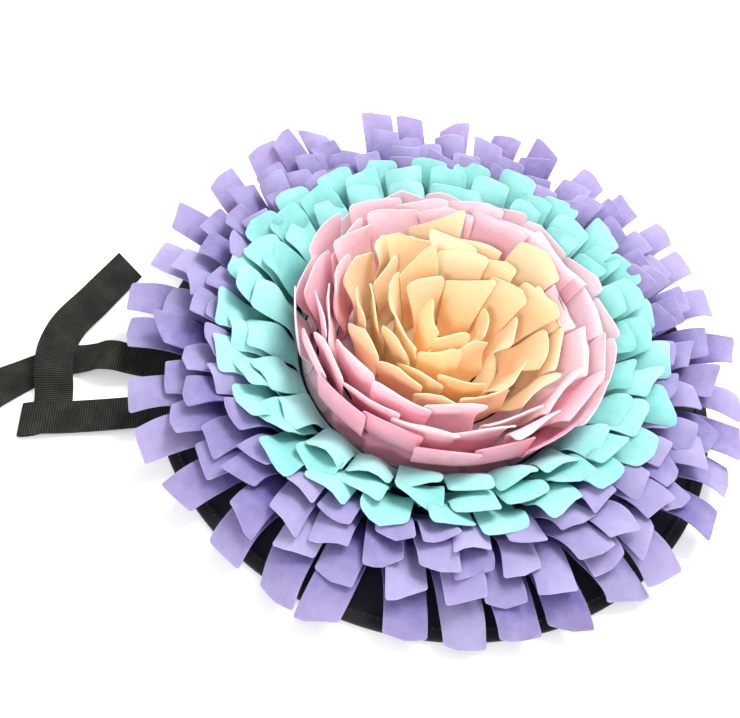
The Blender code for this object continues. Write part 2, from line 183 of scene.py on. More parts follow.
def along(path):
    """How far along the path each of its points is."""
    steps = np.linalg.norm(np.diff(path, axis=0), axis=1)
    return np.concatenate([[0.0], np.cumsum(steps)])


def natural_bend(row, azimuth, draw):
    """The middle line that a lock would take alone, and its lean at each point."""
    longer = row["length_more"] * math.cos(azimuth - math.radians(row["longest_at"]))
    steeper = row["tip_lean_more"] * math.cos(azimuth - math.radians(row["steepest_at"]))
    length = (row["length"] + longer) * (1 + STRAY_LENGTH * draw[0])
    tip_lean = row["tip_lean"] + steeper + row["sway"] * draw[1]
    share = np.linspace(0, 1, int(length / STEP) + 2)
    bent = share ** (TIP_CURL if row["colour"] in STANDING else 1.0)
    opened = ROOT_SHARE * min(steeper, 0.0) if row["colour"] in STANDING else 0.0
    root_lean = row["root_lean"] + opened
    lean = np.radians(root_lean + (tip_lean - root_lean) * bent)
    step = length * (share[1] - share[0])
    middle_lean = (lean[1:] + lean[:-1]) / 2
    out = np.concatenate([[0.0], np.cumsum(np.cos(middle_lean) * step)])
    up = np.concatenate([[0.0], np.cumsum(np.sin(middle_lean) * step)])
    heading = azimuth + math.radians(row["turn"] * draw[2] + row["stack_turn"] * draw[5])
    root = np.array([row["radius"] * math.cos(azimuth), row["radius"] * math.sin(azimuth), BACKING_TOP])
    forward = np.array([math.cos(heading), math.sin(heading), 0.0])
    side = np.array([-math.sin(heading), math.cos(heading), 0.0])
    path = root + out[:, None] * forward + up[:, None] * np.array([0.0, 0.0, 1.0])
    path += row["swing"] * draw[6] * share[:, None] ** 2 * side
    return path, lean, length, side


def half_width(row, middle, share):
    """Half a lock's width along it. A standing lock that leans out widens with its sector of the circle."""
    sector = np.hypot(middle[:, 0], middle[:, 1]) / row["radius"]
    opened = 1 + SECTOR_SHARE * np.maximum(sector - 1.0, 0.0) if row["colour"] in STANDING else 1.0
    return row["width"] / 2 * (1 + row["flare"] * share) * opened


# %% [markdown]
# ## Laying one lock
#
# The lock is first lifted along its middle line, no faster than stiff felt can rise. Then the flat pieces
# between its five cross-sections are tested all over, and lifted again wherever one still dips into the heap.

# %% Laying one lock
SECTIONS = (0.0, 0.22, 0.46, 0.73, 1.0)  # the cross-sections, as shares of the length
ACROSS = np.linspace(0, 1, 25)
ROWS_OF_POINTS = 12  # between one cross-section and the next
STEEPEST_RISE = 0.4  # how fast a lock may be lifted along its length
SHARED_LIFT = 0.5  # what part of its neighbour's lift a cross-section takes with it
ROOT_HELD = 8.0  # how much of a lock is kept from being lifted by its root
RELAX_ROUNDS = 12


def facets(sections):
    """Points spread over the flat pieces between the sections."""
    first, second = sections[:-1, None, None], sections[1:, None, None]
    u = (np.arange(1, ROWS_OF_POINTS + 1) / ROWS_OF_POINTS)[None, :, None, None]
    v = ACROSS[None, None, :, None]
    left = first[:, :, :, 0] * (1 - u) + second[:, :, :, 0] * u
    right = first[:, :, :, 1] * (1 - u) + second[:, :, :, 1] * u
    return left * (1 - v) + right * v


def lay_lock(heap, row, azimuth, draw):
    """The left and right ends of the lock's cross-sections, root to tip, and how far it had to be lifted."""
    path, lean, length, side = natural_bend(row, azimuth, draw)
    half = half_width(row, path, np.linspace(0, 1, len(path)))
    spread = path[:, None] + (2 * ACROSS[None, :, None] - 1) * half[:, None, None] * side
    need = heap.shortfall(spread, heap.half_thickness(lean)[:, None]).max(axis=1)
    distance = along(path)
    tent = need[None, :] - STEEPEST_RISE * np.abs(distance[:, None] - distance[None, :])
    lifted = np.maximum(tent.max(axis=1), 0.0) * np.clip(distance / ROOT_HELD, 0, 1)
    path = heap.lift(path, lifted)
    distance = along(path)
    stops = np.array(SECTIONS) * length
    centre = np.stack([np.interp(stops, distance, path[:, k]) for k in range(3)], axis=1)
    line = np.gradient(centre, axis=0)
    line /= np.linalg.norm(line, axis=1, keepdims=True)
    upright = np.cross(line, side)
    roll = np.radians(row["roll"] * draw[3]) * np.array(SECTIONS)
    across = np.cos(roll)[:, None] * side + np.sin(roll)[:, None] * upright
    across *= half_width(row, centre, np.array(SECTIONS))[:, None]
    sections = np.stack([centre - across, centre + across], axis=1)
    skew = row["skew"] * draw[4] / 2
    sections[-1, 0] += skew * line[-1]
    sections[-1, 1] -= skew * line[-1]
    half_angle = math.asin(row["width"] / 2 / row["radius"])
    for end, turn in ((0, -half_angle), (1, half_angle)):
        edge = row["radius"] * np.array([math.cos(azimuth + turn), math.sin(azimuth + turn)])
        sections[0, end] = (*edge, BACKING_TOP)
    rise = np.arctan2(line[:, 2], np.linalg.norm(line[:, :2], axis=1))
    half = heap.half_thickness((rise[1:] + rise[:-1]) / 2)[:, None, None]
    pushed = lifted.max()
    for _ in range(RELAX_ROUNDS):
        worst = heap.shortfall(facets(sections), half).max(axis=(1, 2))
        if worst.max() <= 0:
            break
        push = np.concatenate([[0.0], np.maximum(worst, 0)])
        push[1:-1] = np.maximum(push[1:-1], SHARED_LIFT * push[2:])
        pushed += push.max()
        sections = heap.lift(sections, np.repeat(push[:, None], 2, axis=1))
    return sections, half, pushed


# %% [markdown]
# ## Laying a whole strip
#
# On the real mat, some locks of a strip lie over their neighbours and some under them. So every second lock
# is laid first, and the ones between come to rest on top. A lock whose own twist would make it ride up too
# high is tried again with less of it. The lying locks are also told to the grid that stands, so that the wall
# of the cup keeps clear of them.

# %% Laying a whole strip
SHARES_OF_STRAY = (1.0, 0.6, 0.25, 0.0)  # tried in turn, until a lock needs no more lift than this
MOST_LIFT = 9.0


def lay_row(heaps, row, seed):
    """(azimuth, sections) of each lock of a strip, in their order round the mat."""
    heap = heaps[row["colour"] in STANDING]
    pitch = 2 * math.pi / row["locks"]
    draws = np.random.default_rng(seed).uniform(-1, 1, (row["locks"], 7))
    if row["stack_turn"]:
        draws[:, 5] = np.random.default_rng(row["locks"]).uniform(-1, 1, row["locks"])
    order = list(range(0, row["locks"], 2)) + list(range(1, row["locks"], 2))
    laid = {}
    for i in order:
        azimuth = (i + 0.5 * (row["name"] in HALF_PITCH)) * pitch
        tries = []
        for share in SHARES_OF_STRAY:
            tries.append(lay_lock(heap, row, azimuth, draws[i] * share))
            if tries[-1][2] <= MOST_LIFT:
                break
        sections, half, _ = min(tries, key=lambda laid_lock: laid_lock[2])
        heap.add(facets(sections), half)
        if row["colour"] not in STANDING:
            heaps[True].add(facets(sections), FELT)
        laid[i] = (azimuth, sections)
    return [laid[i] for i in sorted(laid)]


heaps = {stands: Heap(stands) for stands in (False, True)}
STRIPS = {row["name"]: lay_row(heaps, row, seed) for seed, row in enumerate(ROWS)}
print("laid", sum(len(strip) for strip in STRIPS.values()), "locks")

# %% [markdown]
# ## From cross-sections to cut felt
#
# Five flat cross-sections are enough for a solid, but cut felt is one smooth sheet. A cubic curve through
# the cross-sections gives the line that the felt really takes.

# %% A smooth curve through marked values
def smooth_through(marks, values, at):
    """The values of a smooth curve through the given ones, at other places along it."""
    marks, at = np.asarray(marks, float), np.asarray(at, float)
    slopes = np.gradient(values, marks, axis=0)
    k = np.clip(np.searchsorted(marks, at, side="right") - 1, 0, len(marks) - 2)
    shape = (-1,) + (1,) * (values.ndim - 1)
    gap = (marks[k + 1] - marks[k]).reshape(shape)
    t = (at - marks[k]).reshape(shape) / gap
    start = (2 * t**3 - 3 * t**2 + 1) * values[k] + (t**3 - 2 * t**2 + t) * gap * slopes[k]
    end = (3 * t**2 - 2 * t**3) * values[k + 1] + (t**3 - t**2) * gap * slopes[k + 1]
    return start + end


def unit(vectors):
    return vectors / np.linalg.norm(vectors, axis=-1, keepdims=True)


# %% [markdown]
# ## How each colour is cut and curled
#
# The lavender tips are cut square, and the aqua ones have soft round corners. The pink and cream ones are cut
# at a slant to both sides of a point, so that they look like petals. At the front, the outermost pink strip
# stands as the smooth wall of the cup, and its locks are wider, flatter and cut nearly square. No two locks
# are alike: each draws its own slant, curl and ripple from a seeded generator, which gives the same mat each
# time. The cuts could be modelled as petals of a few kinds and copied, but then the repeats would show.

# %% The cut of each colour
# In millimetres, but for the last. corner is the radius of a tip's corners, and slant how much shorter the
# sides are than the point. cup, ripple, flutter and droop bend the felt out of its plane: over its width,
# along its sides, towards its tip and at the very tip. widen is added to either side. The last column is
# painted shade: how much the felt is darkened low down on a lock, where its neighbours keep the light away.
CUT_COLUMNS = ("name", "corner", "slant", "cup", "ripple", "flutter", "droop", "widen", "painted_shade")
CUT_TABLE = (
    ("lavender", 1.2, 3.0, 2.2, 1.6, 1.2, 3.0, 0.6, 0.40),
    ("aqua", 3.6, 4.0, 3.6, 2.4, 2.4, 4.0, 1.0, 0.28),
    ("pink", 2.4, 8.0, 1.8, 1.3, 1.3, 0.8, 1.6, 0.18),
    ("cream", 2.4, 10.0, 2.2, 1.5, 1.5, 0.8, 1.2, 0.24),
    ("wall", 2.0, 3.0, 0.6, 0.5, 0.4, 0.0, 2.4, 0.00),
)
CUTS = {cut[0]: dict(zip(CUT_COLUMNS, cut)) for cut in CUT_TABLE}
WALL_ROW = "pink_row_1"
WALL_STARTS = -0.3  # the share of the ring's radius, towards the front, past which its locks are the wall
print("cuts for", ", ".join(CUTS))

# %% [markdown]
# ## The felt of one lock
#
# The lock is a grid of points over its middle surface, 21 along and 9 across. The rows follow the smooth
# curve through the cross-sections. The columns are closer together at the sides, where the corners are
# rounded. Near its root the backing holds the felt too tightly to curl, so the curl starts further up.

# %% The felt of one lock
SHEET_THICKNESS = 1.1  # of the felt as drawn, within the 1.8 mm that the solids leave for it
LOCK_STEPS = np.linspace(0, 1, 21)
LOCK_COLUMNS = np.array([-1, -0.93, -0.8, -0.45, 0, 0.45, 0.8, 0.93, 1])
CURVE_STEPS = np.linspace(0, 1, 61)  # along the smooth curve, before the tip is cut
HELD = 0.35  # the share of a lock, from its root, over which it isn't yet free to curl
DROOP_FROM = 0.6  # the share of a lock from which its tip droops
RIPPLES = 1.2  # along a lock
UNSHADED_FROM, FULL_SHADE_BELOW = 0.9, 0.35  # the shares of a lock past which no shade is painted on it, and below which the full painted shade is


def tip_cut(cut, half_width, apex, columns):
    """How much shorter than at its apex the lock is, at each column across it."""
    past = np.maximum(np.abs(columns) * half_width - (half_width - cut["corner"]), 0)
    rounded = cut["corner"] - np.sqrt(np.maximum(cut["corner"] ** 2 - past**2, 0))
    return rounded + cut["slant"] * np.abs(columns - apex) / (1 + abs(apex))


def felt_lock(row, sections, draw):
    """The middle surface of one lock, its flat coordinates on the strip, and the shade painted on its lower
    part.
    """
    is_wall = row["name"] == WALL_ROW and sections[0, :, 1].mean() < WALL_STARTS * row["radius"]
    cut, half_width = CUTS["wall" if is_wall else row["colour"]], row["width"] / 2
    ends = smooth_through(SECTIONS, sections, CURVE_STEPS)
    middle, half = ends.mean(axis=1), (ends[:, 1] - ends[:, 0]) / 2
    over = unit(np.cross(unit(np.gradient(middle, axis=0)), half))
    length = along(middle)[-1]
    reach = 1 - tip_cut(cut, half_width, draw[0], LOCK_COLUMNS) / length
    share = LOCK_STEPS[:, None] * reach
    middle, half, over = (
        np.stack([np.interp(share, CURVE_STEPS, line[:, k]) for k in range(3)], axis=-1)
        for line in (middle, half, over)
    )
    across = LOCK_COLUMNS * (1 + cut["widen"] / half_width) + 0 * share
    free = np.clip(share / HELD, 0, 1)
    curl = cut["cup"] * (draw[2] - 0.4) * (LOCK_COLUMNS**2 - 0.35)
    ripple = cut["ripple"] * np.sin(2 * math.pi * (RIPPLES * share + draw[3])) * LOCK_COLUMNS
    bow = row["radius"] - math.sqrt(row["radius"] ** 2 - half_width**2)
    round_the_ring = bow * (1 - LOCK_COLUMNS**2) * (1.0 if row["colour"] in STANDING else 1 - free)
    drooping = np.clip((share - DROOP_FROM) / (1 - DROOP_FROM), 0, 1)
    droop = cut["droop"] * (1 + 0.6 * draw[5]) * drooping**2
    flutter = cut["flutter"] * share**2 * np.sin(2.4 * LOCK_COLUMNS + math.pi * draw[1])
    raised = free * (curl + ripple) + flutter - round_the_ring - droop
    points = middle + across[..., None] * half + raised[..., None] * over
    flat = np.stack([across * half_width, share * length], axis=-1)
    # painted shade: full on the low part of the lock, fading out before its tip
    painted_shade = cut["painted_shade"] * np.clip((UNSHADED_FROM - share) / (UNSHADED_FROM - FULL_SHADE_BELOW), 0, 1)
    return points, flat, painted_shade


# %% [markdown]
# ## From grids to one piece of felt
#
# A strip is one piece of cloth, so its locks and its backing go into one mesh. Only the middle surface is
# built. The Solidify modifier then gives the sheet its thickness, and a small Bevel takes the knife edge off
# the cut. Each lock keeps flat coordinates for the felt's pattern, and each point a number for its tone,
# which also carries the painted shade.

# %% Sheets of cloth from grids of points
def in_the_scene(name, data):
    """A new object in the scene, of this name and with this mesh, lamp or camera."""
    thing = bpy.data.objects.new(name, data)
    bpy.context.scene.collection.objects.link(thing)
    return thing


def sheet_object(name, grids, material, thickness, edge):
    """One cloth piece from grids of (points, flat coordinates, shade), given in millimetres."""
    points, flats, shades, faces = [], [], [], []
    for grid, flat, shade in grids:
        rows, columns = grid.shape[:2]
        first = sum(len(earlier) for earlier in points)
        number = first + np.arange(rows * columns).reshape(rows, columns)
        quads = [number[:-1, :-1], number[:-1, 1:], number[1:, 1:], number[1:, :-1]]
        faces.append(np.stack(quads, axis=-1).reshape(-1, 4))
        points.append(grid.reshape(-1, 3))
        flats.append(flat.reshape(-1, 2))
        shades.append(np.broadcast_to(shade, (rows, columns)).reshape(-1))
    points, flats, shades, faces = (np.concatenate(a) for a in (points, flats, shades, faces))
    mesh = bpy.data.meshes.new(name)
    mesh.from_pydata((points * MM).tolist(), [], faces.tolist())
    mesh.uv_layers.new(name="cloth").data.foreach_set("uv", (flats[faces.reshape(-1)] * MM).reshape(-1))
    mesh.attributes.new("shade", "FLOAT", "POINT").data.foreach_set("value", shades)
    mesh.shade_smooth()
    mesh.materials.append(material)
    piece = in_the_scene(name, mesh)
    solid = piece.modifiers.new("thickness", "SOLIDIFY")
    solid.thickness = thickness * MM
    solid.offset = 0.0
    bevel = piece.modifiers.new("cut edge", "BEVEL")
    bevel.width = edge * MM
    bevel.segments = 1
    bevel.limit_method = "ANGLE"
    bevel.angle_limit = math.radians(50)
    bevel.harden_normals = True
    return piece


# %% [markdown]
# ## Colours and shader nodes
#
# Screens show sRGB colours, but a renderer works with linear light, so each hex colour goes through one
# function. A second function adds a shader node with its settings and its links. Cloth and lacquer differ in
# their patterns, but each pattern serves the same three ends: it picks between a few colours, makes some
# places rougher, and raises them a little. The last function does that for all of them.

# %% Colours and nodes
def linear(hex_colour):
    channels = [int(hex_colour[i : i + 2], 16) / 255 for i in (1, 3, 5)]
    return (*(c / 12.92 if c <= 0.04045 else ((c + 0.055) / 1.055) ** 2.4 for c in channels), 1.0)


def add(material, kind, settings, links=()):
    """A shader node, with settings by socket or property name and links by socket name or number."""
    node = material.node_tree.nodes.new("ShaderNode" + kind)
    for name, value in settings.items():
        if name in node.inputs:
            node.inputs[name].default_value = value
        else:
            setattr(node, name, value)
    for name, socket in dict(links).items():
        material.node_tree.links.new(socket, node.inputs[name])
    return node


def new_material(name, settings):
    """A material whose shader has these constant settings."""
    material = bpy.data.materials.new(name)
    material.use_nodes = True
    shader = material.node_tree.nodes["Principled BSDF"]
    for socket, value in settings.items():
        shader.inputs[socket].default_value = value
    return material, shader


def surface(material, shader, tone, stops, worn=None, roughness=(), relief=None, strength=0.0, depth=0.0):
    """The shader's colours along a tone, its roughness where it is worn, and its relief in millimetres."""
    links = material.node_tree.links
    ramp = add(material, "ValToRGB", {}, {"Fac": tone})
    elements = ramp.color_ramp.elements
    elements[0].position, elements[0].color = stops[0][0], linear(stops[0][1])
    elements[1].position, elements[1].color = stops[-1][0], linear(stops[-1][1])
    for place, hex_colour in stops[1:-1]:
        elements.new(place).color = linear(hex_colour)
    links.new(ramp.outputs["Color"], shader.inputs["Base Color"])
    if worn:
        rough = add(material, "MapRange", {"To Min": roughness[0], "To Max": roughness[1]}, {"Value": worn})
        links.new(rough.outputs["Result"], shader.inputs["Roughness"])
    if relief:
        bump = add(material, "Bump", {"Strength": strength, "Distance": depth * MM}, {"Height": relief})
        links.new(bump.outputs["Normal"], shader.inputs["Normal"])


# %% [markdown]
# ## Needle-punched polyester felt
#
# Craft felt is polyester fibre matted together with barbed needles, with no weave. Light goes a little way
# into it and comes out again, so it looks matt and full in colour, and its shadows stay bright. Loose fibre
# ends catch light at the edges, which is what the sheen is for. Denser and thinner places make soft blotches
# of about 9 mm, the needles leave dimples about 2.6 mm apart, and the fibre clumps of 0.3 mm are drawn at
# 0.9 mm, because finer ones would not show. The three colours of each felt are its deepest tone, which is
# also the painted shade between the locks, its tone over most of a lock, and its lightest tone, on the tips.
# A lock's shade number picks between them, and the blotches and fibres stray from it a little.

# %% The felt material
BLOTCH, FIBRE_CLUMP, PUNCH = 9.0, 0.9, 2.6  # in millimetres


def needle_punched_felt(colour_name, deep_tone_and_painted_shade, usual, light):
    felt, shader = new_material(
        colour_name + "_needle_punched_felt",
        {"Metallic": 0.0, "IOR": 1.5, "Specular IOR Level": 0.15,
         "Sheen Weight": 0.12, "Sheen Roughness": 0.45, "Sheen Tint": linear(light),
         "Subsurface Weight": 0.8, "Subsurface Radius": (1.0, 0.8, 0.7), "Subsurface Scale": 4 * MM},
    )
    cloth = {"Vector": add(felt, "UVMap", {"uv_map": "cloth"}).outputs["UV"]}
    own = add(felt, "Attribute", {"attribute_name": "shade"}).outputs["Fac"]
    blotches = add(felt, "TexNoise", {"Scale": 1 / (BLOTCH * MM), "Detail": 3.0, "Roughness": 0.6}, cloth)
    fibres = add(felt, "TexNoise", {"Scale": 1 / (FIBRE_CLUMP * MM), "Detail": 2.0, "Roughness": 0.7}, cloth)
    punched = add(felt, "TexNoise", {"Scale": 1 / (PUNCH * MM), "Detail": 1.0}, cloth)
    blotches, fibres, punched = (texture.outputs["Fac"] for texture in (blotches, fibres, punched))
    soft = add(felt, "Mix", {"data_type": "FLOAT", "Factor": 0.35}, {2: blotches, 3: fibres})
    tone = add(felt, "Mix", {"data_type": "FLOAT", "Factor": 0.7}, {2: soft.outputs[0], 3: own})
    height = add(felt, "Mix", {"data_type": "FLOAT", "Factor": 0.45}, {2: fibres, 3: punched})
    # the deepest colour is also the painted shade, which the shade number brings in low down on the locks
    surface(felt, shader, tone.outputs[0], ((0.25, deep_tone_and_painted_shade), (0.5, usual), (0.75, light)),
            fibres, (0.86, 0.98), height.outputs[0], strength=0.45, depth=0.35)
    return felt


# for each felt: its deepest colour, which is also the painted shade between the locks, then its usual and its
# lightest colour
FELTS = {
    "lavender": needle_punched_felt("lavender", "#5D5296", "#A098C4", "#BAB3DA"),
    "aqua": needle_punched_felt("aqua", "#5FB2AE", "#9CDED8", "#B0E8E4"),
    "pink": needle_punched_felt("pink", "#F09EB0", "#FFD2DB", "#FFDEE6"),
    "cream": needle_punched_felt("cream", "#F0BD8E", "#F7D4AA", "#F9DDBC"),
}
print("felts:", ", ".join(felt.name for felt in FELTS.values()))

# %% [markdown]
# ## The fringed strips
#
# Each strip becomes one piece that stands for its solid: fourteen in all. The lavender and aqua strips stand
# on the edge of their backing. The pink and cream ones are folded inwards into a flat foot, which is sewn
# down and reaches the next strip, so that no dark cloth shows between the petals.

# %% The backing and foot of a strip
MIDDLE_SHADE = 0.5


FOOT_SHORT = 2.0  # how far short of the next strip a foot ends
FOOT_FOLD = 0.15  # the share of the foot that its fold takes up


def backing_profile(row):
    """(radius, height) points down the uncut edge of the strip, and in along the foot of a standing one."""
    wall = [(row["radius"], BACKING_TOP + 0.4), (row["radius"], BACKING_TOP - 1.4)]
    if row["colour"] not in STANDING:
        return np.array(wall + [(row["radius"], BACKING_FOOT)])
    inside = [other["radius"] for other in ROWS if other["radius"] < row["radius"]]
    edge = max(inside, default=CENTRE_LEFT_OPEN) + FOOT_SHORT
    foot = [(row["radius"] * (1 - t) + edge * t, BACKING_FOOT + FELT / 2) for t in (0, FOOT_FOLD, 1)]
    return np.array(wall + foot)


def backing_grid(row):
    """The uncut edge of the strip, in a ring."""
    turn = np.linspace(0, 2 * math.pi, 145)
    profile = backing_profile(row)
    radius, z = profile[:, :1], profile[:, 1:]
    points = np.stack([radius * np.cos(turn), radius * np.sin(turn), z + 0 * turn], axis=-1)
    steps = np.linalg.norm(np.diff(profile, axis=0), axis=1)
    down = -np.concatenate([[0.0], np.cumsum(steps)])
    flat = np.stack(np.meshgrid(turn * row["radius"], down), axis=-1)
    return points, flat, MIDDLE_SHADE


# %% [markdown]
# ## Dressing the fringed strips
#
# Each lock draws a shade of its own, and lies on its own part of the felt's pattern, as if the strips had
# been cut from different places of the cloth. Shade is painted on the lower part of each lock, and on the
# wall of the cup, whose pink is painted deeper towards the front, where it faces away from the light. That
# could be left to the lamps alone, but the shaded felt of the real mat is richer in colour, not greyer.

# %% Dressing the fringed strips
USUAL_SHADE = 0.56
STRAY_SHADE = 0.14
WALL_PAINTED_SHADE = 0.42  # painted shade, taken off the shade number of the wall at the very front
PATTERN_SPREAD = 400.0  # how far apart on the felt two locks may lie
CUT_EDGE = 0.3  # the width of the bevel along a cut
for seed, row in enumerate(ROWS):
    draws = np.random.default_rng(100 + seed).uniform(-1, 1, (row["locks"], 8))
    grids = [backing_grid(row)]
    for (azimuth, sections), draw in zip(STRIPS[row["name"]], draws):
        points, flat, painted_shade = felt_lock(row, sections, draw)
        # the lock's own random tone, less the shade painted on its lower part
        shade = USUAL_SHADE + STRAY_SHADE * draw[1] - painted_shade
        # painted shade on the wall, deepest at the front, where it faces away from the light
        if row["name"] == WALL_ROW:
            shade -= WALL_PAINTED_SHADE * max(-math.sin(azimuth), 0.0)
        grids.append((points, flat + PATTERN_SPREAD * draw[6:8], shade))
    piece = sheet_object(row["name"] + "_felt", grids, FELTS[row["colour"]], SHEET_THICKNESS, CUT_EDGE)
    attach(piece, "root")
    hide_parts(row["name"])

# %% [markdown]
# ## The base cloth
#
# The base is a disc of dark polyester oxford cloth with a thin padding. Sewing draws it into shallow puckers
# next to the rim. It could be a flat sheet with a Solidify modifier, but a disc of rings and spokes follows
# the puckers well, and stays exactly flat underneath. The binding is made with the same function.

# %% Round pieces from a profile
SPOKES = 288


def turned_object(name, profile, material, shift):
    """A closed piece turned from (radius, height) points. shift gives how far each point is moved up."""
    turn = np.arange(SPOKES) * 2 * math.pi / SPOKES
    points = []
    for radius, height in profile:
        z = height + shift(turn, radius, height)
        points.append(np.stack([radius * np.cos(turn), radius * np.sin(turn), z], axis=-1))
    points = np.stack(points)
    rows = len(profile)
    number = np.arange(rows * SPOKES).reshape(rows, SPOKES)
    after = np.roll(number, -1, axis=1)
    wraps = profile[0][0] > 1.0
    faces = []
    for k in range(rows if wraps else rows - 1):
        n = (k + 1) % rows
        faces += np.stack([number[k], after[k], after[n], number[n]], axis=-1).tolist()
    if not wraps:
        faces += [number[0][::-1].tolist(), number[-1].tolist()]
    mesh = bpy.data.meshes.new(name)
    mesh.from_pydata((points.reshape(-1, 3) * MM).tolist(), [], faces)
    mesh.shade_smooth()
    mesh.set_sharp_from_angle(angle=math.radians(40))
    mesh.materials.append(material)
    return in_the_scene(name, mesh)


# %% [markdown]
# ## Woven polyester
#
# The base and its binding are plain-woven polyester, near black with a violet cast and a faint grey shine on
# the raised threads. The threads are 0.4 mm apart, and are drawn 1.2 mm apart so that the weave shows. Two
# wave patterns at right angles are multiplied, which leaves a raised spot where the threads cross. Worn
# places of about 14 mm are a little lighter and rougher, so that the black doesn't look like paint.

# %% The woven material
THREAD = 1.2  # in millimetres
WORN_PLACE = 14.0


def woven_polyester(name, valley, crown, roughness):
    weave, shader = new_material(
        name,
        {"Metallic": 0.0, "IOR": 1.5, "Specular IOR Level": 0.4,
         "Sheen Weight": 0.05, "Sheen Roughness": 0.4},
    )
    place = {"Vector": add(weave, "TexCoord", {}).outputs["Object"]}
    threads = {"Scale": math.pi / (10 * THREAD * MM), "Distortion": 0.4, "Detail": 1.0, "Detail Scale": 2.0}
    warp = add(weave, "TexWave", {"bands_direction": "X"} | threads, place).outputs["Fac"]
    weft = add(weave, "TexWave", {"bands_direction": "Y"} | threads, place).outputs["Fac"]
    crossing = add(weave, "Math", {"operation": "MULTIPLY"}, {0: warp, 1: weft}).outputs[0]
    worn = add(weave, "TexNoise", {"Scale": 1 / (WORN_PLACE * MM), "Detail": 3.0}, place).outputs["Fac"]
    tone = add(weave, "Mix", {"data_type": "FLOAT", "Factor": 0.4}, {2: crossing, 3: worn})
    surface(weave, shader, tone.outputs[0], ((0.1, valley), (0.8, crown)),
            worn, (roughness, roughness + 0.15), crossing, strength=0.5, depth=0.25)
    return weave


OXFORD = woven_polyester("black_oxford_cloth", "#0A0816", "#1A172C", 0.5)
BINDING_TAPE = woven_polyester("black_binding_tape", "#08060C", "#1A1622", 0.55)
print("wovens:", OXFORD.name, "and", BINDING_TAPE.name)

# %% [markdown]
# ## Dressing the base and its rim
#
# The base's section runs out along its flat underside, round a soft edge and back along its top. The binding
# is a tape folded over the rim, flat below and lapped onto the top, with a groove where the seam pulls it in.

# %% The base cloth
UNDERSIDE_RADII = (0.5, 80, 160, 204, 206.6)
TOP_RADII = (206.4, 204, 200, 195, 190, 184, 176, 166, 150, 120, 80, 40, 0.5)
base_profile = [(r, 0.0) for r in UNDERSIDE_RADII] + [(BASE_RADIUS, 0.8), (BASE_RADIUS, 2.4)]
base_profile += [(r, BASE_THICKNESS) for r in TOP_RADII]
PUCKER_DEPTH, PUCKER_RADIUS, PUCKER_REACH, PUCKERS = 0.5, 196, 9, 67


def puckers(turn, radius, height):
    """The shallow hollows that the rim's seam draws into the top."""
    if height < BASE_THICKNESS:
        return 0 * turn
    near_rim = math.exp(-(((radius - PUCKER_RADIUS) / PUCKER_REACH) ** 2))
    return -PUCKER_DEPTH * near_rim * (1 + np.sin(PUCKERS * turn + 2 * np.sin(5 * turn))) / 2


def no_shift(turn, radius, height):
    return 0 * turn


base = turned_object("base_cloth_disc", base_profile, OXFORD, puckers)
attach(base, "root")
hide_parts("base_cloth")
print(base.name, round(2 * BASE_RADIUS), "mm across")

# %% The edge binding
SEAM_RADIUS = 203.5
# the height of the tape where it is lapped onto the base
LAP_TOP = BASE_THICKNESS + GAP + 0.9
binding_profile = [
    (207.3, 0.0), (209.3, 0.0), (210.0, 0.3), (210.3, 1.0), (210.3, 3.0), (210.0, 3.7), (209.2, LAP_TOP),
    (206.0, LAP_TOP), (SEAM_RADIUS, LAP_TOP - 0.12), (201.5, LAP_TOP), (201.0, LAP_TOP - 0.3), (201.0, 3.3),
    (207.3, 3.3),
]
binding = turned_object("edge_binding_tape", binding_profile, BINDING_TAPE, no_shift)
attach(binding, "root")
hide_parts("edge_binding")
print(binding.name, "around the rim,", round(2 * math.pi * 207.3), "mm long")

# %% [markdown]
# ## The ties
#
# Two lengths of 25 mm polyester webbing are sewn to the base at the left. One lies flat, folds under itself
# at a square end, and runs to its free end. The other arches up, and passes beneath it. A cloth simulation
# could let them fall, but they would not fall as they lie here, so each follows a short list of places.

# %% The ties' routes
WEBBING_WIDTH = 25.0
WEBBING_THICKNESS = 1.4
# Each station is x, y and z in millimetres, the heading of the webbing's left side, and by how many degrees
# that side is raised.
TIES = {
    "tie_long": (
        (-150.0, -100.0, 4.1, 111, 0), (-159.0, -103.4, 4.3, 111, 0), (-166.0, -106.1, 5.6, 111, 0),
        (-188.0, -114.4, 5.6, 111, 0), (-206.0, -121.3, 4.2, 111, 0), (-230.0, -130.3, 2.8, 111, 0),
        (-260.4, -141.9, 2.65, 111, 0), (-261.1, -142.1, 2.37, 111, 0), (-261.3, -142.2, 1.7, 111, 0),
        (-261.1, -142.1, 1.03, 111, 0), (-260.4, -141.9, 0.75, 111, 0), (-257.0, -140.6, 0.75, 111, 0),
        (-252.4, -137.7, 0.75, 134, 0), (-249.2, -133.2, 0.75, 156, 0), (-248.0, -127.9, 0.75, 178, 0),
        (-248.9, -122.5, 0.75, 200, 0), (-251.2, -117.0, 1.2, 202, 0), (-257.0, -103.0, 8.5, 202, 14),
        (-263.0, -88.0, 10.5, 195, 26), (-265.0, -72.0, 11.5, 184, 36), (-259.0, -36.0, 11.0, 170, 44),
        (-251.0, 5.0, 10.5, 169, 44),
    ),
    "tie_short": (
        (-168.0, -63.0, 4.05, 110, 0), (-178.0, -66.6, 4.2, 110, 0), (-189.0, -70.6, 5.6, 110, 0),
        (-202.0, -75.3, 6.4, 108, 0), (-212.0, -78.6, 10.5, 106, 0), (-221.0, -81.0, 14.0, 104, 0),
        (-230.0, -82.2, 12.5, 100, 0), (-239.0, -83.2, 6.5, 100, 0), (-248.0, -84.6, 2.2, 104, 0),
        (-259.0, -88.5, 0.9, 120, 0), (-268.0, -96.5, 0.9, 140, 0), (-276.0, -108.0, 2.5, 152, 8),
        (-284.0, -122.0, 5.6, 154, 20), (-291.0, -136.0, 7.5, 155, 30), (-299.0, -152.0, 7.5, 155, 30),
    ),
}


